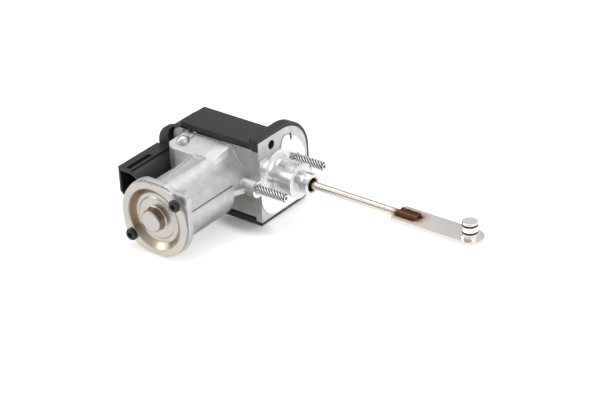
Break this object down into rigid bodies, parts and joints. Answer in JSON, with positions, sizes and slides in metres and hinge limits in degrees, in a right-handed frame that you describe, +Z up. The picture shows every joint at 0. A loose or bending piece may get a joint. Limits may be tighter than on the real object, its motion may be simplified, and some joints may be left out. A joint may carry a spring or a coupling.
{
  "type": "turbocharger control valve",
  "caption": "Electric boost-control actuator: cast housing with motor tube, moulded cover and connector socket, flange studs, and a push rod ending in a link plate with a grooved pin.",
  "frame": {"origin": "where the push rod's axis meets the milled mounting face, midway between the flange studs", "axes": "+X along the push rod, out of the nose; -Y along the motor, towards its end plate; +Z up"},
  "size_m": [0.236, 0.1221, 0.0614],
  "materials": {
    "cast_aluminium": "as cast, satin",
    "black_moulding": "moulded, fine satin",
    "seal_rubber": "matte",
    "zinc_steel": "zinc plated",
    "bush_bronze": "machined",
    "plated_steel": "stamped, plated",
    "black_steel": "black oxide",
    "bearing_bronze": "sintered",
    "ferrite": "pressed",
    "phenolic": "moulded",
    "carbon": "pressed carbon",
    "ground_steel": "ground",
    "gear_plastic": "moulded",
    "sintered_steel": "sintered",
    "sensor_magnet": "pressed",
    "copper": "wound wire",
    "rod_steel": "drawn, bright",
    "link_steel": "stamped",
    "pin_steel": "turned, polished",
    "weld_metal": "as welded, heat tinted",
    "circuit_board": "laminate",
    "chip_plastic": "moulded",
    "contact_metal": "tin plated"
  },
  "bodies": {
    "casing": {"housing": "cast_aluminium", "cover": "black_moulding", "cover_seal": "seal_rubber", "cover_screw_1": "zinc_steel", "cover_screw_2": "zinc_steel", "cover_screw_3": "zinc_steel", "cover_screw_4": "zinc_steel", "stud_near": "zinc_steel", "stud_far": "zinc_steel", "nose_bush": "bush_bronze", "end_plate": "plated_steel", "end_screw_upper": "black_steel", "end_screw_lower": "black_steel", "motor_can": "plated_steel", "front_bearing": "bearing_bronze", "rear_bearing": "bearing_bronze", "magnet_upper": "ferrite", "magnet_lower": "ferrite", "brush_card": "phenolic", "brush_upper": "carbon", "brush_lower": "carbon", "intermediate_pin": "ground_steel", "output_pin": "ground_steel", "sensor_board": "circuit_board", "sensor_chip": "chip_plastic", "contact_1": "contact_metal", "contact_2": "contact_metal", "contact_3": "contact_metal", "contact_4": "contact_metal", "contact_5": "contact_metal"},
    "output": {"output_gear": "gear_plastic", "crank": "ground_steel", "crank_clip": "ground_steel", "position_magnet": "sensor_magnet"},
    "push_rod": {"rod": "rod_steel", "link_plate": "link_steel", "link_pin": "pin_steel", "weld_near": "weld_metal", "weld_far": "weld_metal"},
    "intermediate": {"intermediate_wheel": "gear_plastic", "intermediate_pinion": "sintered_steel"},
    "rotor": {"motor_shaft": "ground_steel", "armature": "sintered_steel", "winding_front": "copper", "winding_rear": "copper", "commutator": "copper", "motor_pinion": "sintered_steel"}
  },
  "joints": [
    {"name": "crank_turn", "type": "hinge", "parent": "casing", "child": "output", "pos_m": [-0.03336, 0, -0.013], "axis": [0, 1, 0], "range_deg": [-24, 24]},
    {"name": "rod_pivot", "type": "hinge", "parent": "output", "child": "push_rod", "pos_m": [-0.03336, 0, 0], "axis": [0, 1, 0], "range_deg": [-24, 24]},
    {"name": "intermediate_spin", "type": "hinge", "parent": "casing", "child": "intermediate", "pos_m": [-0.04623, 0, 0.00901], "axis": [0, 1, 0], "range_deg": [-88, 88]},
    {"name": "motor_spin", "type": "hinge", "parent": "casing", "child": "rotor", "pos_m": [-0.0305, 0, -0.002], "axis": [0, 1, 0], "range_deg": [-262, 262]}
  ],
  "couplings": [
    {"joint": "rod_pivot", "follows": "crank_turn", "ratio": -1},
    {"joint": "intermediate_spin", "follows": "crank_turn", "ratio": -3.6364},
    {"joint": "motor_spin", "follows": "crank_turn", "ratio": 10.909}
  ]
}
